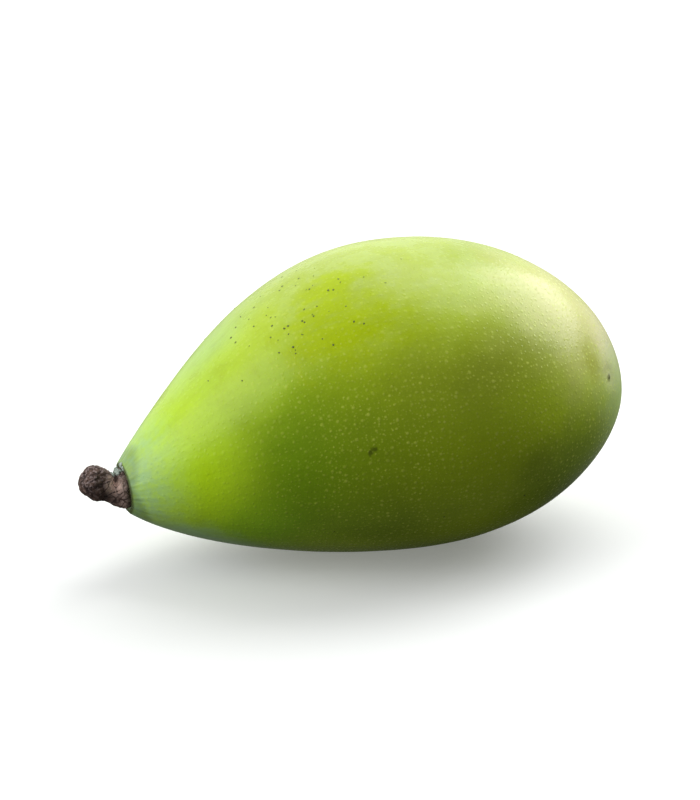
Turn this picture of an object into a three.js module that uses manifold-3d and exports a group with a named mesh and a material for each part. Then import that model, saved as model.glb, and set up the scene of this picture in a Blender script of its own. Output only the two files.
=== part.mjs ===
// A green mango with the stub of its stem, lying on a small flat spot.
//
// Millimetres, +Z up. The origin is the centre of the flat spot that the fruit lies on, and +X
// runs along the fruit from the stem to the apex. The fruit's back is up, its belly is down, and
// its two cheeks face +Y and -Y. Each piece is made on the fruit's own axis, where x is measured
// from the tip of the neck, and the whole is then turned to the way it lies.

import * as THREE from "three";
import { mergeVertices } from "three/addons/utils/BufferGeometryUtils.js";
import Module from "manifold-3d";

const wasm = await Module();
wasm.setup();

// Body of the fruit. Each outline is an arch over the fruit's length, times a fullness that
// changes smoothly from the neck to the apex.
const FRUIT_LENGTH = 124;
const BACK_FULLNESS = [17, 34.5, 49.5, 46.5, 42, 47.5];
const BELLY_FULLNESS = [17, 24.5, 25.5, 34.5, 28.5];
const CHEEK_FULLNESS = [17, 33, 40, 41.5, 38.5];
const NECK_SWING = 2.6; // the neck leans this far towards +Y
const CHEEK_LEAN = 0.035; // one cheek is fuller near the neck, the other near the apex
const SWELLS = [
  { height: 0.0085, waves: 1.15, turns: 2, phase: 0.5 },
  { height: 0.004, waves: 2.2, turns: 3, phase: 2.1 },
  { height: 0.002, waves: 3.1, turns: 1, phase: 4.0 },
];
const FRUIT_RINGS = 54;
const FRUIT_SIDES = 60;

// The neck ends in a blunt rim. Inside it are a shallow seat for the stem's collar and a socket
// for its root. Each step is a radius, and a depth below the neck's end.
const NECK_END = 3.2;
const SEAT_DEPTH = 0.7;
const SOCKET_DEPTH = 4.1;
const SOCKET_RADIUS = 3.3;
const SEAT_STEPS = [
  [0, SOCKET_DEPTH],
  [SOCKET_RADIUS, SOCKET_DEPTH],
  [SOCKET_RADIUS, SEAT_DEPTH],
  [4.85, SEAT_DEPTH],
  [5.05, 0.1],
  [5.3, -0.08],
];

// Stem. Each step is a distance out of the back of its collar, and a radius.
const STEM_STEPS = [
  [-3.1, 0],
  [-3.1, 2.6],
  [-2.7, 3.0],
  [0, 3.0],
  [0, 4.1],
  [0.4, 4.5],
  [1.2, 4.7],
  [2.0, 4.4],
  [2.8, 3.6],
  [3.7, 2.95],
  [4.4, 2.95],
  [5.1, 3.35],
  [6.0, 3.7],
  [7.2, 3.8],
  [8.6, 3.7],
  [9.8, 3.4],
  [10.6, 2.9],
  [11.1, 2.2],
  [11.1, 1.4],
  [10.8, 0.7],
  [10.7, 0],
];
const STEM_RIDGES = [
  { height: 0.035, turns: 5, twist: 0.5, phase: 0.4 },
  { height: 0.025, turns: 3, twist: -0.8, phase: 2.0 },
];
const STEM_SIDES = 30;
const STEM_GAP = 0.3; // the stem stands this clear of its seat
const STEM_BEND = THREE.MathUtils.degToRad(41);
const STEM_BEND_SIDE = THREE.MathUtils.degToRad(5); // it bends up, and this far towards +Y
const STEM_BEND_FROM = 1.4;
const STEM_BEND_TO = 5.2;

// How the fruit lies: its weight is over the middle of the flat spot.
const REST_PITCH = THREE.MathUtils.degToRad(6.3);
const NECK_TIP = [-66.1, -0.1, 19.35];

const skin = new THREE.MeshStandardMaterial({ color: 0x8fb23c, roughness: 0.42, metalness: 0 });
const bark = new THREE.MeshStandardMaterial({ color: 0x4b3b2d, roughness: 0.9, metalness: 0 });

// Value at s, from 0 to 1, of the smooth curve that a row of weights pulls on.
function blend(weights, s) {
  let row = weights;
  while (row.length > 1) {
    const last = row;
    row = last.slice(1).map((weight, i) => last[i] * (1 - s) + weight * s);
  }
  return row[0];
}

// Middle, half height and half width of the fruit at t, from 0 at the tip to 1 at the apex.
function station(t) {
  const s = (1 - Math.cos(Math.PI * t)) / 2;
  const arch = Math.sin(Math.PI * t);
  const back = arch * blend(BACK_FULLNESS, s);
  const belly = arch * blend(BELLY_FULLNESS, s);
  const middle = new THREE.Vector3(
    FRUIT_LENGTH * s,
    NECK_SWING * (1 - s) ** 3,
    (back - belly) / 2,
  );
  return { s, arch, middle, halfHeight: (back + belly) / 2, halfWidth: arch * blend(CHEEK_FULLNESS, s) };
}

// Point of the skin at t along the fruit and at the angle v round it, from the back towards +Y.
function skinPoint(t, v) {
  const { s, arch, middle, halfHeight, halfWidth } = station(t);
  const turn = 2 * Math.PI;
  let swell = 1;
  for (const { height, waves, turns, phase } of SWELLS) {
    swell += height * arch * Math.sin(turn * waves * s + turns * v + phase);
  }
  const side = Math.sin(v) + CHEEK_LEAN * Math.sin(turn * s) * Math.sin(v) ** 2;
  const offset = new THREE.Vector3(0, halfWidth * side, halfHeight * Math.cos(v));
  return offset.multiplyScalar(swell).add(middle);
}

// A ring of points, where place gives the point at an angle.
function ring(sides, place) {
  return Array.from({ length: sides }, (_, i) => place((2 * Math.PI * i) / sides));
}

// Closed surface through rings of points, which start and end with a single point. Seen from the
// first ring's side, each ring runs anticlockwise.
function closedSurface(rings) {
  const sides = rings[1].length;
  const lastPoint = (rings.length - 2) * sides + 1;
  const triangles = [];
  for (let i = 0; i < sides; i += 1) {
    const j = (i + 1) % sides;
    triangles.push(0, 1 + i, 1 + j);
    for (let near = 1; near + sides < lastPoint; near += sides) {
      const far = near + sides;
      triangles.push(near + i, far + i, far + j);
      triangles.push(near + i, far + j, near + j);
    }
    triangles.push(lastPoint, lastPoint - sides + j, lastPoint - sides + i);
  }
  const geometry = new THREE.BufferGeometry().setFromPoints(rings.flat());
  geometry.setIndex(triangles);
  geometry.computeVertexNormals();
  return geometry;
}

function toManifold(geometry) {
  const vertProperties = new Float32Array(geometry.attributes.position.array);
  const triVerts = new Uint32Array(geometry.index.array);
  return new wasm.Manifold(new wasm.Mesh({ numProp: 3, vertProperties, triVerts }));
}

function fromManifold(solid) {
  const { vertProperties, triVerts } = solid.getMesh();
  const geometry = new THREE.BufferGeometry();
  geometry.setAttribute("position", new THREE.BufferAttribute(vertProperties, 3));
  geometry.setIndex(new THREE.BufferAttribute(triVerts, 1));
  geometry.computeVertexNormals();
  return geometry;
}

// Block that fills the space under the surface that the fruit lies on.
function groundBlock() {
  const thickness = 10;
  const box = new THREE.BoxGeometry(2 * FRUIT_LENGTH, FRUIT_LENGTH, thickness);
  box.translate(0, 0, -thickness / 2);
  box.deleteAttribute("normal");
  box.deleteAttribute("uv");
  return mergeVertices(box);
}

// Middle of the neck's blunt end, and how far along the fruit it is.
function neckEnd() {
  const t = Math.acos(1 - (2 * NECK_END) / FRUIT_LENGTH) / Math.PI;
  return { t, middle: station(t).middle };
}

// The fruit with its seat and its flat spot. lying carries it from its own axis to the surface.
function makeFruit(lying) {
  const end = neckEnd();
  const rings = SEAT_STEPS.map(([radius, depth]) => {
    const place = (v) => new THREE.Vector3(depth, radius * Math.sin(v), radius * Math.cos(v));
    return ring(radius > 0 ? FRUIT_SIDES : 1, (v) => place(v).add(end.middle));
  });
  for (let row = 0; row < FRUIT_RINGS; row += 1) {
    const t = end.t + ((1 - end.t) * row) / FRUIT_RINGS;
    rings.push(ring(FRUIT_SIDES, (v) => skinPoint(t, v)));
  }
  rings.push([skinPoint(1, 0)]);
  const ground = groundBlock().applyMatrix4(lying.clone().invert());
  const body = toManifold(closedSurface(rings)).subtract(toManifold(ground));
  const fruit = new THREE.Mesh(fromManifold(body), skin);
  fruit.name = "fruit";
  return fruit;
}

// How far the stem has bent at a distance along it.
function bendAt(distance) {
  return STEM_BEND * THREE.MathUtils.smoothstep(distance, STEM_BEND_FROM, STEM_BEND_TO);
}

// Middle of the stem at a distance along it, found by walking there in short paces.
function stemMiddle(distance) {
  const paces = 24;
  const pace = distance / paces;
  const middle = new THREE.Vector3();
  for (let i = 0; i < paces; i += 1) {
    const bend = bendAt(pace * (i + 0.5));
    middle.add(new THREE.Vector3(-pace * Math.cos(bend), 0, pace * Math.sin(bend)));
  }
  return middle;
}

// Point of the stem's side, at the angle v round it. Its root is round, and the rest is ridged.
function stemPoint(distance, radius, v) {
  let swell = 1;
  for (const { height, turns, twist, phase } of distance > 0 ? STEM_RIDGES : []) {
    swell += height * Math.sin(turns * v + twist * distance + phase);
  }
  const bend = bendAt(distance);
  const up = swell * radius * Math.cos(v);
  const offset = new THREE.Vector3(
    up * Math.sin(bend),
    swell * radius * Math.sin(v),
    up * Math.cos(bend),
  );
  return offset.add(stemMiddle(distance));
}

// The stem grows towards -X from the back of its collar, and is turned so that it bends aside.
function makeStem() {
  const rings = STEM_STEPS.map(([distance, radius]) =>
    ring(radius > 0 ? STEM_SIDES : 1, (v) => stemPoint(distance, radius, v)),
  );
  const stem = new THREE.Mesh(closedSurface(rings.reverse()), bark);
  stem.name = "stem";
  stem.position.copy(neckEnd().middle);
  stem.position.x += SEAT_DEPTH - STEM_GAP;
  stem.rotation.x = -STEM_BEND_SIDE;
  return stem;
}

const mango = new THREE.Group();
mango.rotation.y = -REST_PITCH;
mango.position.set(...NECK_TIP);
mango.updateMatrix();
mango.add(makeFruit(mango.matrix));
mango.add(makeStem());

export default mango;
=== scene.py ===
"""A green mango in Blender: the waxy fruit, its dry stem, and a plain studio to see it in.

The packed model gives the fixed frame: metres, +Z up, the origin at the middle of the flat spot
that the fruit lies on, and +X along the fruit from the stem to the apex. Pieces are made on the
fruit's own axis, where x is measured from the tip of the neck, and are then laid down.
"""

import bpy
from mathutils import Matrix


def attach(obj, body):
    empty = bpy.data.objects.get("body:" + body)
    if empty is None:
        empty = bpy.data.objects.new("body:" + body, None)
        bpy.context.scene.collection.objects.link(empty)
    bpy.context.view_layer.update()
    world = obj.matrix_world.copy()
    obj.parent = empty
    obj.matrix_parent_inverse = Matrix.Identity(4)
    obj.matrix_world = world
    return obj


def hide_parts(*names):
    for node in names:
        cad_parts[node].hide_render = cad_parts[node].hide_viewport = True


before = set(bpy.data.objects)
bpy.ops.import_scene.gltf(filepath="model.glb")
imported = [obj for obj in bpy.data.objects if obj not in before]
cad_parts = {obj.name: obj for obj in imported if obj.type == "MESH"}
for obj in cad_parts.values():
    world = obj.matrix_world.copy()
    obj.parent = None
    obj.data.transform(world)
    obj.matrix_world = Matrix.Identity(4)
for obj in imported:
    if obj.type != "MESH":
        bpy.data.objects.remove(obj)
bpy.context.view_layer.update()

import math
from functools import reduce
from types import SimpleNamespace

import bpy
import numpy as np
from bpy.props import FloatProperty, FloatVectorProperty, IntProperty, PointerProperty
from mathutils import Matrix, Vector

bl_info = {
    "name": "Green Mango",
    "version": (1, 0, 0),
    "blender": (4, 5, 0),
    "location": "3D View > Sidebar > Mango",
    "description": "Builds a green mango, its stem and a plain studio",
    "category": "Add Mesh",
}

MM = 0.001
TURN = 2 * math.pi

# The body of the fruit, in millimetres, as in the packed model. A fullness is a row of weights
# for the distance from the middle line to the skin, from the neck to the apex.
FRUIT_LENGTH = 124
BACK_FULLNESS = (17, 34.5, 49.5, 46.5, 42, 47.5)
BELLY_FULLNESS = (17, 24.5, 25.5, 34.5, 28.5)
CHEEK_FULLNESS = (17, 33, 40, 41.5, 38.5)
# How far the neck swings to +Y at its tip, and the share by which both sides bulge the same way,
# to +Y near the neck and to -Y near the apex.
NECK_SWING = 2.6
CHEEK_LEAN = 0.035
# Slow waves of the skin: share of the radius, waves along the fruit, waves round it, and phase.
SWELLS = ((0.0085, 1.15, 2, 0.5), (0.004, 2.2, 3, 2.1), (0.002, 3.1, 1, 4.0))
# The neck ends bluntly this far from its tip. The stem's collar stands in a shallow seat in that
# end, and the stem's root in a socket, with both depths measured from the end.
NECK_END = 3.2
SEAT_DEPTH = 0.7
SOCKET_DEPTH = 4.1
SOCKET_RADIUS = 3.3
# Where the flower was.
SCAR = np.array([115.6, -19.4, 8.5])
# How the fruit lies: its axis rises by the pitch from the tip of the neck, which is off the floor.
REST_PITCH = math.radians(6.3)
NECK_TIP = Vector((-66.1, -0.1, 19.35))
LYING = Matrix.Translation(NECK_TIP) @ Matrix.Rotation(-REST_PITCH, 4, "Y")


# ---------------------------------------------------------------- node trees


class Wire:
    """A socket that takes part in Python sums. Each operation adds a Math node."""

    def __init__(self, nodes, socket):
        self.nodes = nodes
        self.socket = socket

    def __add__(self, other):
        return self.nodes.math("ADD", self, other)

    def __radd__(self, other):
        return self.nodes.math("ADD", other, self)

    def __sub__(self, other):
        return self.nodes.math("SUBTRACT", self, other)

    def __rsub__(self, other):
        return self.nodes.math("SUBTRACT", other, self)

    def __mul__(self, other):
        return self.nodes.math("MULTIPLY", self, other)

    def __rmul__(self, other):
        return self.nodes.math("MULTIPLY", other, self)

    def __truediv__(self, other):
        return self.nodes.math("DIVIDE", self, other)

    def __rtruediv__(self, other):
        return self.nodes.math("DIVIDE", other, self)

    def floor(self):
        return self.nodes.math("FLOOR", self)

    def fraction(self):
        return self.nodes.math("FRACT", self)

    def rise(self, low, high):
        """0 below low, 1 above high, and smooth between them. It falls where high is under low."""
        values = {"Value": self, "From Min": low, "From Max": high}
        return self.nodes.add("ShaderNodeMapRange", {"interpolation_type": "SMOOTHSTEP"}, values)

    def bell(self, centre, width):
        """1 at centre, falling smoothly to 0 at width on both sides."""
        return self.nodes.math("ABSOLUTE", self - centre).rise(width, 0)


class Nodes:
    """Fills one node tree. Socket values are numbers, colours, points or wires."""

    def __init__(self, tree):
        self.tree = tree
        tree.nodes.clear()

    def add(self, kind, settings=None, values=None, out=0):
        """Adds a node. out is one output's name or place, or a tuple of them."""
        node = self.tree.nodes.new(kind)
        for name, setting in (settings or {}).items():
            if name == "curve":
                self.set_curve(node.mapping, setting)
            else:
                setattr(node, name, setting)
        for place, value in (values or {}).items():
            if isinstance(value, Wire):
                self.tree.links.new(value.socket, node.inputs[place])
            else:
                node.inputs[place].default_value = value
        if isinstance(out, tuple):
            return [Wire(self, node.outputs[place]) for place in out]
        return Wire(self, node.outputs[out]) if len(node.outputs) else None

    @staticmethod
    def set_curve(mapping, points):
        curve = mapping.curves[0]
        while len(curve.points) < len(points):
            curve.points.new(1, 1)
        for point, place in zip(curve.points, points):
            point.location = place
        mapping.update()

    def math(self, operation, *values):
        return self.add("ShaderNodeMath", {"operation": operation}, dict(enumerate(values)))

    def vector(self, operation, *values, out=0):
        return self.add(
            "ShaderNodeVectorMath", {"operation": operation}, dict(enumerate(values)), out
        )

    def most(self, *wires):
        """The largest of several wires or numbers."""
        return reduce(lambda high, wire: self.math("MAXIMUM", high, wire), wires)

    def scaled(self, vector, factor):
        values = {"Vector": vector, "Scale": factor}
        return self.add("ShaderNodeVectorMath", {"operation": "SCALE"}, values)

    def cells(self, place, scale):
        """Distance to the nearest border between the cells of a Voronoi pattern."""
        settings = {"feature": "DISTANCE_TO_EDGE"}
        values = {"Vector": place, "Scale": scale}
        return self.add("ShaderNodeTexVoronoi", settings, values, "Distance")

    def point(self, x, y, z):
        return self.add("ShaderNodeCombineXYZ", {}, {"X": x, "Y": y, "Z": z})

    def split(self, vector):
        return self.add("ShaderNodeSeparateXYZ", {}, {"Vector": vector}, ("X", "Y", "Z"))

    def noise(self, place, scale, detail=2.0, roughness=0.5):
        values = {"Vector": place, "Scale": scale, "Detail": detail, "Roughness": roughness}
        return self.add("ShaderNodeTexNoise", {}, values, "Fac")

    def chance(self, place, out="Value"):
        """A number from 0 to 1 that depends on place alone."""
        settings = {"noise_dimensions": "3D"}
        return self.add("ShaderNodeTexWhiteNoise", settings, {"Vector": place}, out)

    def colour(self, factor, low, high):
        """Goes from colour low to colour high as factor goes from 0 to 1."""
        settings = {"data_type": "RGBA", "clamp_factor": True}
        return self.add("ShaderNodeMix", settings, {0: factor, 6: low, 7: high}, 2)


# ---------------------------------------------------------------- shapes


def blend(weights, s):
    """Value at s, from 0 to 1, of the smooth curve that a row of weights pulls on."""
    row = [np.full_like(s, weight, float) for weight in weights]
    while len(row) > 1:
        row = [low * (1 - s) + high * s for low, high in zip(row, row[1:])]
    return row[0]


def station(t):
    """Middle, half height and half width of the fruit at t, from 0 at the tip to 1 at the apex."""
    s = (1 - np.cos(np.pi * t)) / 2
    arch = np.sin(np.pi * t)
    back = arch * blend(BACK_FULLNESS, s)
    belly = arch * blend(BELLY_FULLNESS, s)
    middle = (FRUIT_LENGTH * s, NECK_SWING * (1 - s) ** 3, (back - belly) / 2)
    return s, arch, middle, (back + belly) / 2, arch * blend(CHEEK_FULLNESS, s)


def skin_points(t, v):
    """Points of the skin at t along the fruit and the angle v round it, from the back to +Y."""
    s, arch, (x, y, z), half_height, half_width = station(t)
    swell = 1 + sum(
        height * arch * np.sin(TURN * waves * s + turns * v + phase)
        for height, waves, turns, phase in SWELLS
    )
    side = np.sin(v) + CHEEK_LEAN * np.sin(TURN * s) * np.sin(v) ** 2
    across = y + half_width * side * swell
    up = z + half_height * np.cos(v) * swell
    return np.stack(np.broadcast_arrays(x, across, up), axis=-1)


def angles(sides):
    return np.arange(sides) * TURN / sides


def neck_end():
    """How far along the fruit the neck's blunt end is, and the middle of it."""
    t = math.acos(1 - 2 * NECK_END / FRUIT_LENGTH) / math.pi
    return t, np.array(station(np.array(t))[2], float)


def spline(points, pieces):
    """Points on the Catmull-Rom curve through points, with so many pieces between each two."""
    ends = np.concatenate([points[:1], points, points[-1:]])
    a, b, c, d = ends[:-3], ends[1:-2], ends[2:-1], ends[3:]
    rows = []
    for f in np.arange(pieces) / pieces:
        rows.append(
            b
            + (c - a) * f / 2
            + (a - 2.5 * b + 2 * c - d / 2) * f**2
            + (1.5 * (b - c) + (d - a) / 2) * f**3
        )
    return np.concatenate([np.stack(rows, axis=1).reshape(-1, points.shape[1]), points[-1:]])


def ring_map(along, count, sides):
    """UV of each corner of a closed mesh's faces, in the order of its caps and quads.

    u is along, which has a value for the first point, each ring and the last point. v goes from 0
    to 1 round each ring.
    """
    i = np.arange(sides)
    rows = np.array(along[1:-1])
    steps = np.stack([rows[:-1], rows[1:], rows[1:], rows[:-1]], -1)[:, None, :]
    turns = np.stack([i, i, i + 1, i + 1], -1) / sides
    middle = (i + 0.5) / sides
    u = (
        np.broadcast_to([along[0], along[1], along[1]], (sides, 3)),
        np.broadcast_to(steps, (count - 1, sides, 4)),
        np.broadcast_to([along[-1], along[-2], along[-2]], (sides, 3)),
    )
    v = (
        np.stack([middle, i / sides, (i + 1) / sides], -1),
        np.broadcast_to(turns, (count - 1, sides, 4)),
        np.stack([middle, (i + 1) / sides, i / sides], -1),
    )
    return np.stack([np.concatenate([part.ravel() for part in parts]) for parts in (u, v)], -1)


def closed_mesh(name, first, rings, last, along):
    """A mesh through rings of points, closed by one point at each end, with a UV map."""
    count, sides = rings.shape[:2]
    points = np.concatenate([[first], rings.reshape(-1, 3), [last]])
    i = np.arange(sides)
    j = (i + 1) % sides
    near = 1 + np.arange(count - 1)[:, None] * sides
    far = near + sides
    quads = np.stack([near + i, far + i, far + j, near + j], axis=-1).reshape(-1, 4)
    base = 1 + (count - 1) * sides
    cap = np.stack([np.zeros_like(i), 1 + i, 1 + j], axis=-1)
    end_cap = np.stack([np.full_like(i, len(points) - 1), base + j, base + i], axis=-1)
    mesh = bpy.data.meshes.new(name)
    mesh.from_pydata(points.tolist(), [], [*cap.tolist(), *quads.tolist(), *end_cap.tolist()])
    layer = mesh.uv_layers.new(name="surface")
    layer.data.foreach_set("uv", ring_map(along, count, sides).astype(np.float32).ravel())
    mesh.shade_smooth()
    return mesh


# ---------------------------------------------------------------- what a user can change


def tint(code):
    """A linear colour for shader sockets from its six-figure hex code, which is sRGB."""
    parts = [int(code[i:i + 2], 16) / 255 for i in (0, 2, 4)]
    return [p / 12.92 if p <= 0.04045 else ((p + 0.055) / 1.055) ** 2.4 for p in parts]


def size(name, description, value):
    return FloatProperty(
        name=name, description=description, default=value * MM, unit="LENGTH", precision=5
    )


def angle(name, description, degrees):
    return FloatProperty(
        name=name, description=description, default=math.radians(degrees), subtype="ANGLE"
    )


def share(name, description, value):
    return FloatProperty(
        name=name, description=description, default=value, min=0, max=1, subtype="FACTOR"
    )


def count(name, description, value):
    return IntProperty(name=name, description=description, default=value, min=3)


def colour(name, description, code):
    return FloatVectorProperty(
        name=name,
        description=description,
        default=tint(code),
        size=3,
        subtype="COLOR",
        min=0,
        max=1,
    )


class MangoFruit(bpy.types.PropertyGroup):
    """Shape of the fruit's surface"""

    rings: count("Rings", "Rings of the skin from neck to apex", 262)
    sides: count("Sides", "Points in each ring", 312)
    dent_size: size("Dent size", "Distance across the skin's soft dents", 20)
    dent_depth: size("Dent depth", "Depth of the skin's soft dents", 0.4)
    pleat_depth: size("Pleat depth", "Depth of the pleats round the stem", 0.11)
    pleat_reach: size("Pleat reach", "How far the pleats run from the stem", 4.5)


class MangoSkin(bpy.types.PropertyGroup):
    """Colours and marks of the skin"""

    # Painted bounce light: this bright green stands for green light bounced onto the low near side
    # of the neck.
    bounce_green: colour("Grass green", "Colour of the cheek near the neck", "bce812")
    # Painted shade: this darker green darkens the middle of the near cheek.
    fern_shade: colour("Fern green", "Colour of the middle of the cheek", "6c9a0a")
    # Painted bounce light: this saturated green stands for green light bounced under the neck.
    bounce_sprout: colour("Sprout green", "Colour of the belly near the neck", "86c40c")
    leaf: colour("Leaf green", "Main colour of the skin", "aec81c")
    # Partly painted shade: this darker green is the skin's own random darker tone and its greener
    # spots, and it also paints shade on the cheek and low near the apex.
    deep_and_shade: colour("Deep green", "Colour of the darker cheek", "809b12")
    # Painted shade: this dull colour is the shade just under the edge of the upper right
    # highlight.
    olive_shade: colour("Olive", "Colour of the cheek below the pale shoulder", "80862f")
    # Also painted highlight: besides the bright flanks near the neck, this colour paints a
    # highlight strip on the upper cheek.
    lime_and_highlight: colour("Lime", "Colour of the bright flanks", "b8dc34")
    rubbed: colour("Rubbed", "Colour where the bloom is rubbed off", "acc400")
    # Partly painted highlight: a pale yellow shoulder and top that also stand for the highlight
    # there.
    blush_and_highlight: colour("Blush", "Colour of the pale yellow shoulder", "d6d486")
    # Painted highlight: this pale colour paints the bright edge of the apex's upper side.
    cream_highlight: colour("Cream", "Colour of the palest side of the apex", "e8dcba")
    ochre: colour("Ochre", "Colour of the sunned spot near the apex", "a6ae10")
    bloom: colour("Bloom", "Colour of the waxy bloom", "a4cea2")
    dot: colour("Dots", "Colour of the pale dots", "cddc58")
    dot_spacing: size("Dot spacing", "Distance between the pale dots", 1.8)
    dot_radius: size("Dot radius", "Size of the largest pale dots", 0.42)
    # Also painted shade: besides the dark spots, this colour paints the shadow in the groove round
    # the stem.
    speck_and_shade: colour("Specks", "Colour of the dark specks", "3a3a10")
    speck_radius: size("Speck radius", "Size of the largest dark specks", 0.34)
    lip: colour("Lip", "Colour of the skin's dry edge round the stem", "43593a")
    sap: colour("Sap", "Colour of the dried sap", "bccabe")


class MangoStem(bpy.types.PropertyGroup):
    """Shape and colours of the stem"""

    sides: count("Sides", "Points in each ring", 240)
    lump_size: size("Lump size", "Distance across the lumps of the bark", 2.0)
    lump_depth: size("Lump depth", "Height of the lumps of the bark", 0.75)
    crack_size: size("Crack size", "Distance between the cracks", 2.4)
    crack_depth: size("Crack depth", "Depth of the cracks", 0.14)
    flake_radius: size("Flake radius", "Size of the largest flakes", 0.45)
    bark: colour("Bark", "Main colour of the stem", "5f4a40")
    dark: colour("Cracks", "Colour of the cracks", "2a1c18")
    # Partly painted highlight: pale wear at the waist, and the bright lit patch on the collar's
    # upper front.
    worn_and_highlight: colour("Worn bark", "Colour of the waist where the bark is worn", "f2d2c2")
    fleck: colour("Flecks", "Colour of the pale flecks", "a3918f")


class MangoStudio(bpy.types.PropertyGroup):
    """Floor, lights and camera"""

    floor: colour("Floor", "Colour of the floor", "e4e6e5")
    light: share("Light", "Brightness of the lights", 1.0)
    azimuth: angle("Azimuth", "Turn of the camera round the fruit", -20)
    elevation: angle("Elevation", "Camera above the floor", 22)
    distance: size("Distance", "Camera to the fruit", 1200)
    view_width: size("View width", "Width seen at the fruit", 162)


GROUPS = {
    "mango_fruit": MangoFruit,
    "mango_skin": MangoSkin,
    "mango_stem": MangoStem,
    "mango_studio": MangoStudio,
}


def choices():
    """The values that the sidebar shows."""
    scene = bpy.context.scene
    return SimpleNamespace(
        fruit=scene.mango_fruit,
        skin=scene.mango_skin,
        stem=scene.mango_stem,
        studio=scene.mango_studio,
    )


# ---------------------------------------------------------------- materials


def new_material(name):
    material = bpy.data.materials.new(name)
    material.use_nodes = True
    return material, Nodes(material.node_tree)


def finish_material(nodes, values):
    shader = nodes.add("ShaderNodeBsdfPrincipled", {}, values)
    nodes.add("ShaderNodeOutputMaterial", {}, {"Surface": shader})


def solid(colour_values):
    return (*colour_values, 1.0)


def paint(nodes, base, *coats):
    """Lays coats over a base colour in order. A coat is how much of it shows, and its colour."""
    for cover, tone in coats:
        base = nodes.colour(cover, base, solid(tone))
    return base


def bump(nodes, height):
    """A normal bent by height, a wire in millimetres."""
    return nodes.add("ShaderNodeBump", {}, {"Strength": 1.0, "Distance": MM, "Height": height})


def fruit_place(nodes):
    """Place on the fruit's own axis, in millimetres, x from the tip of the neck."""
    turn = Matrix.Rotation(REST_PITCH, 4, "Y")
    values = {
        "Vector": nodes.add("ShaderNodeTexCoord", {}, {}, "Object"),
        "Location": -(turn @ NECK_TIP),
        "Rotation": (0, REST_PITCH, 0),
        "Scale": (1 / MM, 1 / MM, 1 / MM),
    }
    return nodes.add("ShaderNodeMapping", {}, values)


# How far out, as a share of its reach, a patch has faded away.
PATCH_EDGE = 1.15


def patch(nodes, place, centre, reach, ragged=0.0, grain=0.12, core=0.35):
    """1 in the core of an oval patch round centre, falling to 0 at its soft or ragged edge."""
    gap = nodes.vector("DIVIDE", nodes.vector("SUBTRACT", place, centre), reach)
    away = nodes.vector("LENGTH", gap, out="Value")
    if ragged:
        away = away + (nodes.noise(place, grain, 4, 0.6) - 0.5) * ragged
    return away.rise(PATCH_EDGE, core)


def arc_lengths(rings):
    """Distance along the skin from the first ring to each ring, in millimetres."""
    paces = np.linalg.norm(np.diff(rings, axis=0), axis=-1).mean(axis=1)
    return np.concatenate([[0], np.cumsum(paces)])


def skin_rings(rings, sides):
    """Rings of the skin from the neck's end, the apex, and the distance along to each of them."""
    start = neck_end()[0]
    t = start + (1 - start) * np.arange(rings) / rings
    points = skin_points(t[:, None], angles(sides)[None])
    apex = skin_points(np.array([[1.0]]), np.array([[0.0]]))
    lengths = arc_lengths(np.concatenate([points, np.repeat(apex, sides, axis=1)]))
    return points, apex[0, 0], lengths


# Rings and points in each ring that the fruit's girth is measured on, and the stops of its curve.
GIRTH_RINGS = 200
GIRTH_SIDES = 180
GIRTH_STOPS = 13
# The fewest dots in a row, the seed of the rows' starts, and how far a dot strays from the middle
# of its place, as a share of the spacing.
FEWEST_DOTS = 4.0
ROW_SEED = 7.0
DOT_STRAY = 0.62


def girths():
    """How far it is round the fruit at evenly spaced shares of its length along the skin."""
    points, _, lengths = skin_rings(GIRTH_RINGS, GIRTH_SIDES)
    loop = np.concatenate([points, points[:, :1]], axis=1)
    girth = np.linalg.norm(np.diff(loop, axis=1), axis=-1).sum(axis=1)
    shares = np.linspace(0, 1, GIRTH_STOPS)
    return shares, np.interp(shares, lengths / lengths[-1], np.append(girth, 0)), lengths[-1]


def dots(nodes, surface, spacing, radius, seed):
    """1 in the skin's dots, which stand in loose rows round the fruit, and 0 between them."""
    shares, girth_at, length = girths()
    widest = float(girth_at.max())
    along, around, _ = nodes.split(surface)
    row_place = along * (length / spacing)
    row = row_place.floor()
    curve = [(float(a), float(b) / widest) for a, b in zip(shares, girth_at)]
    values = {"Value": (row + 0.5) * (spacing / length)}
    girth = nodes.add("ShaderNodeFloatCurve", {"curve": curve}, values) * widest
    in_row = nodes.most((girth / spacing).floor(), FEWEST_DOTS)
    place = around * in_row + nodes.chance(nodes.point(row, seed, ROW_SEED))
    number = nodes.math("MODULO", place.floor(), in_row)
    ahead, aside, big = nodes.split(nodes.chance(nodes.point(number, row, seed), "Color"))
    off_along = (row_place.fraction() - 0.5 + (ahead - 0.5) * DOT_STRAY) * spacing
    off_round = (place.fraction() - 0.5 + (aside - 0.5) * DOT_STRAY) * (girth / in_row)
    apart = nodes.math("SQRT", off_along * off_along + off_round * off_round)
    return (apart / (radius * (0.5 + 0.5 * big * big))).rise(1.5, 0.2)


def meridians(nodes, surface, folds, length):
    """Place for a pattern of folds round the fruit that run from the neck to the apex."""
    along, around, _ = nodes.split(surface)
    turn = around * TURN
    reach = folds / TURN
    across, up = nodes.math("COSINE", turn) * reach, nodes.math("SINE", turn) * reach
    return nodes.point(across, up, along * length)


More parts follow.
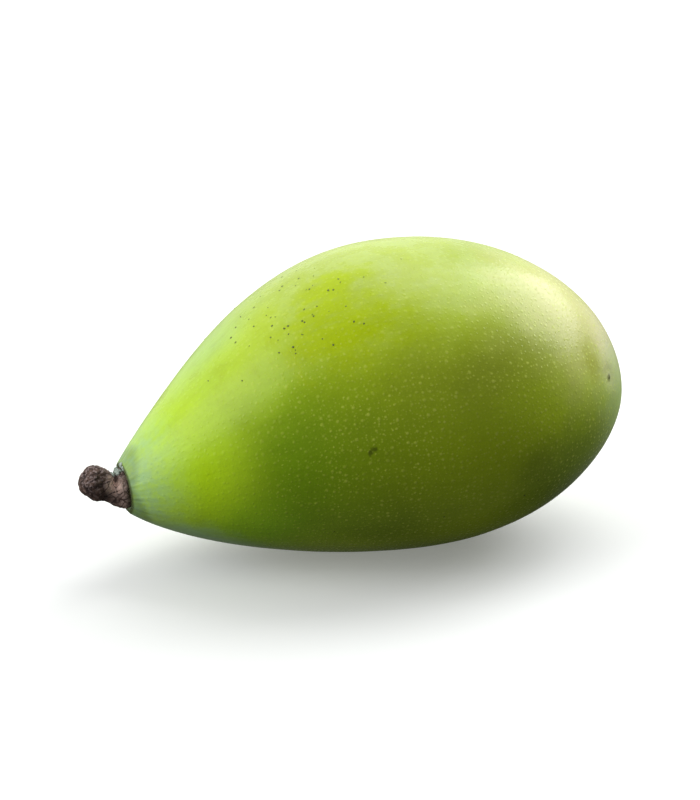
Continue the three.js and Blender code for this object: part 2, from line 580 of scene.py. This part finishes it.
# Soft patches of the skin: centre and reach in millimetres on the fruit's own axis, how ragged the
# edge is, the grain of that raggedness, and the share of the reach that is the solid core.
SKIN_PATCHES = {
    # cheek: a darker green, partly the skin's own colour and partly painted shade.
    "cheek": ((50, -33, 6), (44, 25, 30), 0.5, 0.05, 0.35),
    # Painted shade: a darker green low on the near side of the apex end.
    "heel": ((104, -29, -10), (24, 24, 22), 0.9, 0.07, 0.25),
    # Painted shade: the darker strip just under the edge of the upper right highlight.
    "brow": ((87, -32, 24.5), (34, 13, 12), 0.5, 0.1, 0.0),
    # Painted shade: darkens the near cheek in its middle, towards the neck.
    "middle": ((35, -25, 6), (24, 24, 34), 0.5, 0.06, 0.0),
    # Painted bounce light: a greener pool below the neck on its near side.
    "belly": ((26, -16, -8), (20, 16, 14), 0.5, 0.06, 0.0),
    # Painted bounce light: a bright green pool low on the near side of the neck.
    "throat": ((14, -13, 5), (22, 21, 21), 0.6, 0.1, 0.0),
    # Painted highlight: a bright strip on the upper near cheek.
    "band": ((33.5, -18.5, 23.5), (9, 5, 9), 0.5, 0.1, 0.0),
    # shoulder: a pale yellow shoulder, partly the skin's own colour and partly painted highlight.
    "shoulder": ((113, -11, 27), (38, 30, 29), 0.9, 0.07, 0.1),
    # Painted highlight: a pale glow at the apex's upper edge.
    "glow": ((120, -9, 14), (12, 18, 16), 0.9, 0.07, 0.0),
    "sunned": ((110.5, -22.2, 14.8), (5, 6, 6), 1.6, 0.35, 0.1),
    "rubbed_flank": ((53, -18, 36), (19, 13, 11), 1.7, 0.2, 0.35),
    "rubbed_back": ((55, -7, 42), (12, 6, 7), 1.7, 0.26, 0.35),
    "crest": ((27, 7, 29), (24, 14, 18), 0.6, 0.1, 0.0),
    "under": ((16, -3, -13), (24, 13, 11), 0.6, 0.15, 0.35),
    "rim": ((119, -15, 4), (14, 18, 15), 1.0, 0.12, 0.0),
    "bruise": ((91.2, -35.7, -0.5), (7, 8, 6), 1.6, 0.25, 0.35),
    "smudge_foot": ((51.5, -33.5, 11.0), (0.7, 0.8, 0.9), 1.5, 1.1, 0.35),
    "smudge_head": ((52.4, -33.7, 11.9), (0.9, 0.8, 0.7), 1.5, 1.1, 0.35),
    "scar": (SCAR.tolist(), (1.1, 1.1, 1.1), 1.2, 1.2, 0.35),
}


def skin_fields(nodes):
    """What the skin's colours depend on: place, soft noises, streaks and patches."""
    place = fruit_place(nodes)
    surface = nodes.add("ShaderNodeUVMap", {"uv_map": "surface"})
    x, _, z = nodes.split(place)
    patches = {name: patch(nodes, place, *shape) for name, shape in SKIN_PATCHES.items()}
    return SimpleNamespace(
        place=place,
        surface=surface,
        x=x,
        z=z,
        broad=nodes.noise(place, 0.028, 2, 0.5),
        mottle=nodes.noise(place, 0.17, 5, 0.62),
        streaks=nodes.noise(meridians(nodes, surface, 95, 12), 1.0, 4, 0.65),
        grain=nodes.noise(place, 1.1, 3, 0.6),
        **patches,
    )


def clean_skin(nodes, at, rubbed):
    """Colour of the skin under its bloom: darker green on the cheek, partly the skin's own colour
    and partly painted shade; further patches of painted shade, painted green bounce light low on
    the neck, and painted highlight, pale near the apex.

    Places are in millimetres on the fruit's own axis: x from the tip of the neck, and z up.
    """
    look = choices().skin
    cheek = at.cheek * (at.x + 8 * (at.mottle - 0.5)).rise(16, 33) * at.x.rise(82, 52)
    # Darker green from random tone, plus painted shade on the cheek and low near the apex.
    deep_and_shade = nodes.most(0.3 * at.broad.rise(0.55, 0.35) + 0.7 * cheek, 0.9 * at.heel)
    flank = at.x.rise(58, 12) * at.mottle.rise(0.2, 0.52) * (1 - cheek)
    # The top is paler, partly the skin's own colour and partly painted highlight from above.
    back = at.z.rise(25, 52) * (0.5 + 0.5 * at.mottle.rise(0.35, 0.65))
    return paint(
        nodes,
        solid(look.leaf),
        (deep_and_shade, look.deep_and_shade),
        (0.75 * flank, look.lime_and_highlight),
        # Painted shade under the highlight's edge.
        (0.55 * at.brow, look.olive_shade),
        # Painted shade on the middle of the near cheek.
        (0.65 * at.middle, look.fern_shade),
        # Painted green bounce light below the neck.
        (0.65 * at.belly, look.bounce_sprout),
        # Painted green bounce light low on the neck, weaker on the dark cheek.
        (0.85 * at.throat * (1 - 0.9 * cheek), look.bounce_green),
        # Painted highlight strip on the upper cheek.
        (0.42 * at.band, look.lime_and_highlight),
        (nodes.most(0.8 * at.shoulder, 0.35 * back), look.blush_and_highlight),
        # Painted highlight at the apex's upper edge.
        (0.6 * at.glow, look.cream_highlight),
        (0.75 * at.sunned, look.ochre),
        (0.95 * rubbed, look.rubbed),
    )


def waxy_bloom(nodes, at, rubbed):
    """How much bloom covers the skin: most on the neck and below it, and a haze on the back."""
    folds = nodes.noise(meridians(nodes, at.surface, 30, 9), 1.0, 4, 0.6)
    blotches = nodes.noise(at.place, 0.5, 4, 0.65)
    cover = 0.4 + 0.25 * folds.rise(0.35, 0.65) + 0.35 * blotches.rise(0.4, 0.6)
    neck = at.x.rise(18, 3) * cover
    under = at.under * (0.4 + at.streaks)
    crest = at.crest * (0.5 + at.streaks)
    haze = at.z.rise(25, 52) * (1 - rubbed) * at.mottle.rise(0.35, 0.65)
    return nodes.most(0.8 * neck, 0.75 * under, 0.3 * at.rim, 0.2 * haze, 0.3 * crest)


def dark_marks(nodes, at):
    """How much of a faint bruise, a smudge on the cheek and the flower's scar shows."""
    smudge = nodes.most(at.smudge_foot, at.smudge_head)
    return nodes.most(0.12 * at.bruise, 0.6 * smudge, 0.7 * at.scar)


# The seeds of the large and the small pale dots, and the small ones' share of the size.
DOT_SEEDS = (3.0, 11.0)
SMALL_DOTS = 0.6


def skin_material():
    """Waxy green skin with pale dots, brighter patches and a bloom, and with painted light and
    shade in its colour.
    """
    look = choices().skin
    material, nodes = new_material("mango_skin")
    at = skin_fields(nodes)
    rubbed = nodes.most(at.rubbed_flank, at.rubbed_back) * at.streaks.rise(0.15, 0.5)
    bloom = waxy_bloom(nodes, at, rubbed)
    large, small = (
        dots(nodes, at.surface, look.dot_spacing / MM * part, look.dot_radius / MM * part, seed)
        for part, seed in zip((1.0, SMALL_DOTS), DOT_SEEDS)
    )
    shown = (0.5 + at.mottle.rise(0.35, 0.65)) * (1 - 0.6 * at.z.rise(18, 42)) * at.x.rise(8, 65)
    lip = (at.x - 0.35 * nodes.math("ABSOLUTE", at.z - 2) + 1.2 * at.streaks).rise(5.3, 3.8)
    base = paint(
        nodes,
        clean_skin(nodes, at, rubbed),
        (bloom, look.bloom),
        ((0.55 * large + 0.35 * small) * shown, look.dot),
        (dark_marks(nodes, at), look.speck_and_shade),
        (0.4 * lip, look.lip),
        # Painted shadow: a dark ring on the seat's rim and the neck's end, in the groove round the
        # stem's collar.
        (0.8 * at.x.rise(3.6, 3.2), look.speck_and_shade),
    )
    light = 1 + (at.streaks - 0.5) * 0.2 + (at.mottle - 0.5) * 0.14 + (at.grain - 0.5) * 0.16
    relief_height = 0.012 * at.grain + 0.016 * at.streaks + 0.03 * large + 0.012 * small
    values = {
        "Base Color": nodes.scaled(base, light),
        "Roughness": 0.2 + 0.1 * at.mottle + 0.25 * bloom + 0.08 * large,
        "Normal": bump(nodes, relief_height),
        "Subsurface Weight": 0.06,
        "Subsurface Radius": (1.0, 0.8, 0.2),
        "Subsurface Scale": 2 * MM,
        "Specular IOR Level": 0.2,
        "Sheen Weight": 0.2,
        "Sheen Roughness": 0.35,
        "Sheen Tint": (0.93, 1.0, 0.95, 1.0),
    }
    finish_material(nodes, values)
    return material


# A pale patch on the upper front of the collar, partly bark broken away and partly painted
# highlight: a patch, as in SKIN_PATCHES, with the usual core.
CHIP_HIGHLIGHT = ((0.0, -0.6, 2.8), (2.3, 3.0, 3.0), 0.9, 0.6)


def bark_material():
    """Rough dry bark, with wear and paler at the waist, with a painted highlight on the upper
    front of the collar, pale flecking that is denser on top as painted light from above, and dark
    cracks.
    """
    look = choices().stem
    material, nodes = new_material("mango_bark")
    place = fruit_place(nodes)
    x, _, z = nodes.split(place)
    drawn_out = nodes.vector("MULTIPLY", place, (0.45, 1.0, 1.0))
    elsewhere = nodes.vector("ADD", drawn_out, (31, 7, 12))
    wavy = nodes.noise(place, 0.7, 4, 0.6)
    grain = nodes.noise(place, 2.4, 5, 0.7)
    blotch = nodes.noise(elsewhere, 0.9, 4, 0.6)
    cracks = nodes.cells(nodes.vector("ADD", drawn_out, nodes.point(wavy, wavy, wavy)), 0.4)
    # Painted highlight, partly bark broken away, on the collar's upper front.
    chip_highlight = patch(nodes, place, *CHIP_HIGHLIGHT)
    waist = 0.35 * x.bell(1.6, 3.6) * wavy.rise(0.35, 0.55)
    # The pale flecking is the bark's own; its rise towards the top is painted light from above.
    flecks_and_top_light = nodes.noise(place, 1.3, 3, 0.5).rise(0.5, 0.62) * (0.4 + 0.6 * z.rise(2, 6))
    base = paint(
        nodes,
        solid(look.dark),
        (blotch.rise(0.35, 0.6), look.bark),
        (nodes.most(waist, 0.95 * chip_highlight) * grain.rise(0.3, 0.48), look.worn_and_highlight),
        (0.7 * flecks_and_top_light, look.fleck),
        (0.9 * cracks.rise(0.05, 0.0), look.dark),
    )
    values = {
        "Base Color": base,
        "Roughness": 0.62 + 0.25 * grain,
        "Normal": bump(nodes, 0.14 * grain + 0.05 * flecks_and_top_light),
        "Specular IOR Level": 0.35,
    }
    finish_material(nodes, values)
    return material


def speck_material():
    """Dull dark specks, some of them greener."""
    look = choices().skin
    material, nodes = new_material("mango_specks")
    grain = nodes.noise(fruit_place(nodes), 3.0, 2)
    values = {
        "Base Color": paint(nodes, solid(look.speck_and_shade), (grain.rise(0.3, 0.8), look.deep_and_shade)),
        "Roughness": 0.45 + 0.2 * grain,
    }
    finish_material(nodes, values)
    return material


def sap_material(name):
    """Dried sap, pale and crusty, with fine dark cracks."""
    look = choices().skin
    material, nodes = new_material(name)
    place = fruit_place(nodes)
    grain = nodes.noise(place, 2.0, 4, 0.7)
    base = paint(
        nodes,
        solid(look.lip),
        (grain.rise(0.25, 0.5), look.sap),
        (0.6 * nodes.cells(place, 1.1).rise(0.07, 0.01), look.speck_and_shade),
    )
    values = {
        "Base Color": base,
        "Roughness": 0.5 + 0.25 * grain,
        "Normal": bump(nodes, 0.1 * grain),
    }
    finish_material(nodes, values)
    return material


def floor_material():
    """Pale acrylic that glows a little, so that shadows on it stay light."""
    look = choices().studio
    material, nodes = new_material("studio_floor")
    cloud = nodes.noise(nodes.add("ShaderNodeTexCoord", {}, {}, "Object"), 3.0)
    values = {
        "Base Color": solid(look.floor),
        "Roughness": 0.6 + 0.1 * cloud,
        "Specular IOR Level": 0.1,
        "Emission Color": (1.0, 1.0, 1.0, 1.0),
        "Emission Strength": 0.2,
    }
    finish_material(nodes, values)
    return material


# ---------------------------------------------------------------- geometry nodes


def socket_name(name):
    """The name that a tree's socket shows for a Python name."""
    return name.replace("_", " ").capitalize()


def geometry_tree(name, **inputs):
    """A new geometry tree's filler, with a wire for its geometry and for each named input."""
    tree = bpy.data.node_groups.new(name, "GeometryNodeTree")
    tree.interface.new_socket("Geometry", in_out="INPUT", socket_type="NodeSocketGeometry")
    labels = [socket_name(name) for name in inputs]
    for label, kind in zip(labels, inputs.values()):
        tree.interface.new_socket(label, in_out="INPUT", socket_type="NodeSocket" + kind)
    tree.interface.new_socket("Geometry", in_out="OUTPUT", socket_type="NodeSocketGeometry")
    nodes = Nodes(tree)
    wires = nodes.add("NodeGroupInput", {}, {}, ("Geometry", *labels))
    return nodes, wires[0], SimpleNamespace(**dict(zip(inputs, wires[1:])))


def run_tree(piece, nodes, geometry, material, **values):
    """Ends the tree, runs it on the piece, and leaves the piece with the plain mesh it makes."""
    whole = nodes.add("GeometryNodeRealizeInstances", {}, {"Geometry": geometry})
    done = nodes.add("GeometryNodeSetMaterial", {}, {"Geometry": whole, "Material": material})
    nodes.add("NodeGroupOutput", {}, {"Geometry": done})
    modifier = piece.modifiers.new(nodes.tree.name, "NODES")
    modifier.node_group = nodes.tree
    named = {socket_name(name): value for name, value in values.items()}
    for item in nodes.tree.interface.items_tree:
        if item.in_out == "INPUT" and item.name in named:
            modifier[item.identifier] = named[item.name]
    depsgraph = bpy.context.evaluated_depsgraph_get()
    mesh = bpy.data.meshes.new_from_object(piece.evaluated_get(depsgraph))
    piece.modifiers.clear()
    piece.data = mesh


def position(nodes):
    return nodes.add("GeometryNodeInputPosition")


def lay_down(nodes, geometry):
    """Turns the geometry from the fruit's own axis to the way it lies, flat where it touches."""
    values = {
        "Geometry": geometry,
        "Translation": NECK_TIP * MM,
        "Rotation": (0, -REST_PITCH, 0),
    }
    turned = nodes.add("GeometryNodeTransform", {}, values)
    x, y, z = nodes.split(position(nodes))
    level = nodes.point(x, y, nodes.math("MAXIMUM", z, 0.0))
    return nodes.add("GeometryNodeSetPosition", {}, {"Geometry": turned, "Position": level})


def relief(nodes, geometry, height):
    """Moves the surface along its normal by height, a wire in metres."""
    offset = nodes.scaled(nodes.add("GeometryNodeInputNormal"), height)
    return nodes.add("GeometryNodeSetPosition", {}, {"Geometry": geometry, "Offset": offset})


def lying(point):
    """A point on the fruit's own axis, in millimetres, as a point of the finished piece."""
    return (LYING @ Vector(point)) * MM


# The smallest scattered lump's share of the largest one's size.
SMALLEST_LUMP = 0.35


def scatter(nodes, geometry, density, seed, radius, flatness):
    """Small lumps spread over the geometry, lying on it, where density is their number per m2."""
    values = {"Mesh": geometry, "Density": density, "Seed": seed}
    spots, turn = nodes.add(
        "GeometryNodeDistributePointsOnFaces", {}, values, ("Points", "Rotation")
    )
    lump = nodes.add("GeometryNodeMeshIcoSphere", {}, {"Radius": 1.0, "Subdivisions": 2})
    smooth = nodes.add("GeometryNodeSetShadeSmooth", {}, {"Geometry": lump})
    low, high = radius * SMALLEST_LUMP, radius
    values = {
        0: nodes.point(low, low, low * flatness),
        1: nodes.point(high, high, high * flatness),
        "Seed": seed,
    }
    scale = nodes.add("FunctionNodeRandomValue", {"data_type": "FLOAT_VECTOR"}, values, 0)
    values = {"Points": spots, "Instance": smooth, "Rotation": turn, "Scale": scale}
    return nodes.add("GeometryNodeInstanceOnPoints", {}, values)


def new_piece(name, mesh):
    piece = bpy.data.objects.new(name, mesh)
    bpy.context.scene.collection.objects.link(piece)
    return piece


def scattered_piece(name, over, slot, material, ovals, **values):
    """A piece of small lumps in ovals over another piece.

    The values are the lumps' density in each m2, their radius in metres, flatness and seed.
    """
    piece = new_piece(name, bpy.data.objects[over].data.copy())
    nodes, geometry, given = geometry_tree(
        name, density="Float", radius="Float", flatness="Float", seed="Int"
    )
    spread = 0.0
    for centre, reach, part in ovals:
        oval = patch(nodes, position(nodes), lying(centre), [side * MM for side in reach])
        spread = oval * part + spread
    density = given.density * spread
    lumps = scatter(nodes, geometry, density, given.seed, given.radius, given.flatness)
    run_tree(piece, nodes, lumps, material, **values)
    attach(piece, "root")
    return piece


# ---------------------------------------------------------------- the fruit

# Radius and depth below the neck's end of the seat that the stem stands in, in millimetres.
SEAT_OUTLINE = (
    (SOCKET_RADIUS, SOCKET_DEPTH),
    (SOCKET_RADIUS, SEAT_DEPTH),
    (4.5, SEAT_DEPTH),
    (4.8, 0.6),
    (5.0, 0.3),
    (5.12, 0.05),
    (5.3, -0.06),
)
# U of the seat's floor and of its first and last ring, clear of the skin's own 0 to 1.
SEAT_FLOOR_U = -0.01
SEAT_U = (-0.008, -0.001)
# Sines whose sum folds the neck round the stem: share of the depth, folds, and phase.
PLEATS = ((0.5, 9, 1.0), (0.5, 16, 2.3), (0.35, 27, 0.7), (0.2, 41, 5.0))
# Where along the fruit, in millimetres, the skin's soft dents start and are at their full depth.
DENTS_START = 4
DENTS_FULL = 14
# The scar of the flower, in millimetres: a dimple with a nub in it, which look away from a point
# inside the fruit.
SCAR_FROM = (80, 0, 4)
DIMPLE_DEPTH = 0.4
DIMPLE_RADIUS = 2.4
NUB_HEIGHT = 0.5
NUB_RADIUS = 0.8


def fold_neck(points, v, distance, depth, reach):
    """Draws the skin into pleats that fade with the distance from the neck's end."""
    fold = sum(part * np.sin(folds * v + phase) for part, folds, phase in PLEATS)
    out = np.stack([0 * v, np.sin(v), np.cos(v)], axis=-1)
    return points + (depth * np.exp(-distance / reach) * fold[None])[..., None] * out[None]


def mark_scar(points):
    """Sinks a shallow dimple in the skin, with a small nub in it where the flower was."""
    away = np.linalg.norm(points - SCAR, axis=-1, keepdims=True)
    out = (SCAR - SCAR_FROM) / np.linalg.norm(SCAR - SCAR_FROM)
    nub = NUB_HEIGHT * np.exp(-((away / NUB_RADIUS) ** 2))
    dimple = DIMPLE_DEPTH * np.exp(-((away / DIMPLE_RADIUS) ** 2))
    return points + (nub - dimple) * out


def fruit_mesh(look):
    """The fruit's mesh on its own axis: the seat of the stem, then the skin to the apex."""
    skin, apex, lengths = skin_rings(look.rings, look.sides)
    v = angles(look.sides)
    middle = neck_end()[1]
    seat = np.array(SEAT_OUTLINE)[..., None]
    radius, depth = seat[:, 0], seat[:, 1]
    seat = np.stack([depth + 0 * v, radius * np.sin(v), radius * np.cos(v)], axis=-1) + middle
    distance = lengths[:-1, None]
    skin = fold_neck(skin, v, distance, look.pleat_depth / MM, look.pleat_reach / MM)
    rings = np.concatenate([seat, mark_scar(skin)])
    along = [SEAT_FLOOR_U, *np.linspace(*SEAT_U, len(seat)), *(lengths / lengths[-1])]
    first = middle + (SOCKET_DEPTH, 0, 0)
    return closed_mesh("fruit", first * MM, rings * MM, apex * MM, along)


class MANGO_OT_fruit(bpy.types.Operator):
    """Make the fruit with its waxy skin"""

    bl_idname = "mango.fruit"
    bl_label = "Fruit"

    def execute(self, context):
        look = choices().fruit
        piece = new_piece("mango_fruit", fruit_mesh(look))
        fields = ("dent_size", "dent_depth")
        nodes, geometry, given = geometry_tree("skin relief", **dict.fromkeys(fields, "Float"))
        waves = nodes.noise(position(nodes), 1.0 / given.dent_size, 1.5) - 0.5
        away = nodes.split(position(nodes))[0].rise(DENTS_START * MM, DENTS_FULL * MM)
        geometry = lay_down(nodes, relief(nodes, geometry, waves * given.dent_depth * away))
        values = {field: getattr(look, field) for field in fields}
        run_tree(piece, nodes, geometry, skin_material(), **values)
        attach(piece, "root")
        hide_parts("fruit")
        return {"FINISHED"}


# Where lumps are scattered: ovals, each with its centre and reach in millimetres on the fruit's
# own axis, and its share of the density.
SPECK_OVALS = (((44, -7, 37), (24, 20, 12), 1.0), ((62, 0, 0), (90, 60, 60), 0.02))
SAP_OVALS = (((2.7, 2.2, 5.4), (1.2, 2.0, 1.2), 1.0),)
FLAKE_OVALS = (((-3, -1, 1), (9, 9, 9), 1.0),)
CRUST_OVALS = (((1.5, 2.4, 5.2), (1.5, 2.2, 1.3), 1.0),)


class MANGO_OT_marks(bpy.types.Operator):
    """Spread dark specks on the skin and dried sap on the edge of the neck"""

    bl_idname = "mango.marks"
    bl_label = "Specks and sap"

    def execute(self, context):
        look = choices().skin
        scattered_piece(
            "mango_specks",
            "mango_fruit",
            "skin",
            speck_material(),
            SPECK_OVALS,
            density=75_000.0,
            radius=look.speck_radius,
            flatness=0.3,
            seed=5,
        )
        scattered_piece(
            "mango_sap",
            "mango_fruit",
            "skin",
            sap_material("mango_sap"),
            SAP_OVALS,
            density=4_500_000.0,
            radius=0.6 * MM,
            flatness=0.6,
            seed=2,
        )
        return {"FINISHED"}


# ---------------------------------------------------------------- the stem

# Distance out of the collar's back and radius, in millimetres, as in the packed model.
STEM_OUTLINE = (
    (-3.1, 0),
    (-3.1, 2.6),
    (-2.7, 3.0),
    (0, 3.0),
    (0, 4.1),
    (0.4, 4.5),
    (1.2, 4.7),
    (2.0, 4.4),
    (2.8, 3.6),
    (3.7, 2.95),
    (4.4, 2.95),
    (5.1, 3.35),
    (6.0, 3.7),
    (7.2, 3.8),
    (8.6, 3.7),
    (9.8, 3.4),
    (10.6, 2.9),
    (11.1, 2.2),
    (11.1, 1.4),
    (10.8, 0.7),
    (10.7, 0),
)
# Points of the mesh between each two points of the outline.
STEM_STEPS = 11
# Ridges along the stem: share of the radius, how many round it, their twist, and phase.
STEM_RIDGES = ((0.035, 5, 0.5, 0.4), (0.025, 3, -0.8, 2.0))
# Clearance under the collar, how far the stem bends up and to the side, and where it bends.
STEM_GAP = 0.3
STEM_BEND = math.radians(41)
STEM_BEND_SIDE = math.radians(5)
STEM_BEND_FROM = 1.4
STEM_BEND_TO = 5.2
# Steps in which the bend is added up along the stem.
STEM_BEND_STEPS = 48
# Where the bark's lumps start and are at their full height, in millimetres along the fruit.
BARK_START = 3.8
BARK_FULL = 3.0


def stem_bend(distance):
    """How far the stem has bent at a distance along it."""
    f = np.clip((distance - STEM_BEND_FROM) / (STEM_BEND_TO - STEM_BEND_FROM), 0, 1)
    return STEM_BEND * f * f * (3 - 2 * f)


def stem_points(distance, radius, v):
    """Points of the stem's side at a distance out of the collar's back and angles v round it."""
    paces = (np.arange(STEM_BEND_STEPS) + 0.5) / STEM_BEND_STEPS
    bend = stem_bend(distance[:, None] * paces)
    middle_x = -distance * np.cos(bend).mean(axis=1)
    middle_z = distance * np.sin(bend).mean(axis=1)
    distance, radius = distance[:, None], radius[:, None]
    bend = stem_bend(distance)
    swell = 1 + (distance > 0) * sum(
        height * np.sin(turns * v + twist * distance + phase)
        for height, turns, twist, phase in STEM_RIDGES
    )
    up = swell * radius * np.cos(v)
    x = middle_x[:, None] + up * np.sin(bend)
    y = swell * radius * np.sin(v)
    z = middle_z[:, None] + up * np.cos(bend)
    return np.stack([x, y, z], axis=-1)


def stem_mesh(sides):
    """The stem's mesh on the fruit's own axis, from its free end to the middle of its base."""
    outline = spline(np.array(STEM_OUTLINE, float), STEM_STEPS)
    radius = np.maximum(outline[:, 1], 0)
    points = stem_points(outline[:, 0], radius, angles(sides))[::-1]
    turn = np.array(Matrix.Rotation(-STEM_BEND_SIDE, 3, "X"))
    points = (points @ turn.T + neck_end()[1] + (SEAT_DEPTH - STEM_GAP, 0, 0)) * MM
    along = np.linspace(0, 1, len(points))
    return closed_mesh("stem", points[0, 0], points[1:-1], points[-1, 0], along)


class MANGO_OT_stem(bpy.types.Operator):
    """Make the stub of the stem, with its corky collar and its flakes"""

    bl_idname = "mango.stem"
    bl_label = "Stem"

    def execute(self, context):
        look = choices().stem
        piece = new_piece("mango_stem", stem_mesh(look.sides))
        fields = ("lump_size", "lump_depth", "crack_size", "crack_depth")
        nodes, geometry, given = geometry_tree("bark relief", **dict.fromkeys(fields, "Float"))
        place = position(nodes)
        lumps = nodes.noise(place, 1.0 / given.lump_size, 4.0, 0.6) - 0.5
        edge = nodes.cells(place, 1.0 / given.crack_size).rise(0.1, 0.0)
        height = lumps * given.lump_depth - edge * given.crack_depth
        seen = nodes.split(place)[0].rise(BARK_START * MM, BARK_FULL * MM)
        geometry = lay_down(nodes, relief(nodes, geometry, height * seen))
        bark = bark_material()
        values = {field: getattr(look, field) for field in fields}
        run_tree(piece, nodes, geometry, bark, **values)
        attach(piece, "root")
        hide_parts("stem")
        scattered_piece(
            "mango_flakes",
            "mango_stem",
            "stem",
            bark,
            FLAKE_OVALS,
            density=260_000.0,
            radius=look.flake_radius,
            flatness=0.22,
            seed=3,
        )
        scattered_piece(
            "mango_crust",
            "mango_stem",
            "stem",
            sap_material("mango_crust"),
            CRUST_OVALS,
            density=5_000_000.0,
            radius=0.6 * MM,
            flatness=0.8,
            seed=4,
        )
        return {"FINISHED"}


# ---------------------------------------------------------------- the studio

# Azimuth and elevation in degrees, width and height in metres, power in watts.
SOFTBOXES = {
    "right": (22, 30, 0.9, 0.6, 8.8),
    "overhead": (40, 58, 0.8, 0.6, 4.0),
    "left": (178, 24, 0.8, 1.0, 8.8),
}
SOFTBOX_AIM = Vector((0, 0, 0.035))
SOFTBOX_DISTANCE = 1.1

# Brightness of the wall and of the ground below it, each before the fruit and behind it, and the
# y and z on the world's unit ball between which the one goes over into the other.
WALL = (0.21, 0.97)
GROUND = (0.1, 0.0)
BEHIND = (-0.25, 0.25)
HORIZON = (-0.3, 0.02)

# The point that the camera looks at, how far left of it the middle of the picture is, and the
# nearest that it sees, in metres.
CAMERA_AIM = Vector((0.001, 0.0, 0.0337))
CAMERA_SHIFT = 0.0092
CAMERA_NEAREST = 0.05
# Half the floor's side in metres, and its corners as seen from its middle.
FLOOR_REACH = 4
CORNERS = ((-1, -1), (1, -1), (1, 1), (-1, 1))


def make_softboxes(power):
    """Large soft lights round the fruit, all facing it."""
    for name, (azimuth, elevation, width, height, watts) in SOFTBOXES.items():
        light = bpy.data.lights.new(name, "AREA")
        light.shape = "RECTANGLE"
        light.size, light.size_y = width, height
        light.energy = watts * power
        a, e = math.radians(azimuth), math.radians(elevation)
        away = Vector((math.cos(a) * math.cos(e), math.sin(a) * math.cos(e), math.sin(e)))
        lamp = bpy.data.objects.new(name, light)
        lamp.location = SOFTBOX_AIM + away * SOFTBOX_DISTANCE
        lamp.rotation_euler = away.to_track_quat("Z", "Y").to_euler()
        bpy.context.scene.collection.objects.link(lamp)


def grey(value):
    return (value, value, value, 1.0)


def make_world():
    """A white wall behind the fruit, dimmer in front of it and below, and white to the camera."""
    world = bpy.data.worlds.new("studio")
    bpy.context.scene.world = world
    world.use_nodes = True
    nodes = Nodes(world.node_tree)
    seen = nodes.add("ShaderNodeLightPath", {}, {}, "Is Camera Ray")
    _, y, z = nodes.split(nodes.add("ShaderNodeTexCoord", {}, {}, "Generated"))
    behind = y.rise(*BEHIND)
    wall, ground = (nodes.colour(behind, *map(grey, pair)) for pair in (WALL, GROUND))
    glow = nodes.colour(z.rise(*HORIZON), ground, wall)
    shown = nodes.colour(seen, glow, grey(1.0))
    backdrop = nodes.add("ShaderNodeBackground", {}, {"Color": shown, "Strength": 1.0})
    nodes.add("ShaderNodeOutputWorld", {}, {"Surface": backdrop})


def make_camera(look):
    """A long lens that looks at the fruit and sees the view's width at its distance."""
    camera = bpy.data.cameras.new("camera")
    camera.sensor_fit = "HORIZONTAL"
    camera.lens = camera.sensor_width * look.distance / look.view_width
    camera.clip_start = CAMERA_NEAREST
    a, e = look.azimuth, look.elevation
    back = Vector((math.sin(a) * math.cos(e), -math.cos(a) * math.cos(e), math.sin(e)))
    right = Vector((math.cos(a), math.sin(a), 0))
    eye = bpy.data.objects.new("camera", camera)
    eye.location = CAMERA_AIM - right * CAMERA_SHIFT + back * look.distance
    eye.rotation_euler = back.to_track_quat("Z", "Y").to_euler()
    bpy.context.scene.collection.objects.link(eye)
    bpy.context.scene.camera = eye


class MANGO_OT_studio(bpy.types.Operator):
    """Make the floor, the lights and the camera"""

    bl_idname = "mango.studio"
    bl_label = "Studio"

    def execute(self, context):
        look = choices().studio
        mesh = bpy.data.meshes.new("floor")
        corners = [(x * FLOOR_REACH, y * FLOOR_REACH, 0) for x, y in CORNERS]
        mesh.from_pydata(corners, [], [(0, 1, 2, 3)])
        mesh.materials.append(floor_material())
        floor = new_piece("studio_floor", mesh)
        floor.visible_diffuse = False
        floor.visible_glossy = False
        floor.visible_shadow = False
        make_world()
        make_softboxes(look.light)
        make_camera(look)
        context.scene.view_settings.view_transform = "Standard"
        return {"FINISHED"}


# ---------------------------------------------------------------- the add-on

OPERATORS = (MANGO_OT_fruit, MANGO_OT_marks, MANGO_OT_stem, MANGO_OT_studio)


class MANGO_PT_panel(bpy.types.Panel):
    """Sidebar panel with a button for each piece"""

    bl_label = "Mango"
    bl_idname = "MANGO_PT_panel"
    bl_space_type = "VIEW_3D"
    bl_region_type = "UI"
    bl_category = "Mango"

    def draw(self, context):
        for operator in OPERATORS:
            self.layout.operator(operator.bl_idname)
        for name, group in GROUPS.items():
            box = self.layout.box()
            box.label(text=group.__doc__)
            for field in group.__annotations__:
                box.prop(getattr(context.scene, name), field)


def register():
    for cls in (*GROUPS.values(), *OPERATORS, MANGO_PT_panel):
        bpy.utils.register_class(cls)
    for name, group in GROUPS.items():
        setattr(bpy.types.Scene, name, PointerProperty(type=group))


def unregister():
    for name in GROUPS:
        delattr(bpy.types.Scene, name)
    for cls in reversed((*GROUPS.values(), *OPERATORS, MANGO_PT_panel)):
        bpy.utils.unregister_class(cls)


def main():
    register()
    bpy.ops.mango.fruit()
    bpy.ops.mango.marks()
    bpy.ops.mango.stem()
    bpy.ops.mango.studio()


if __name__ == "__main__":
    main()
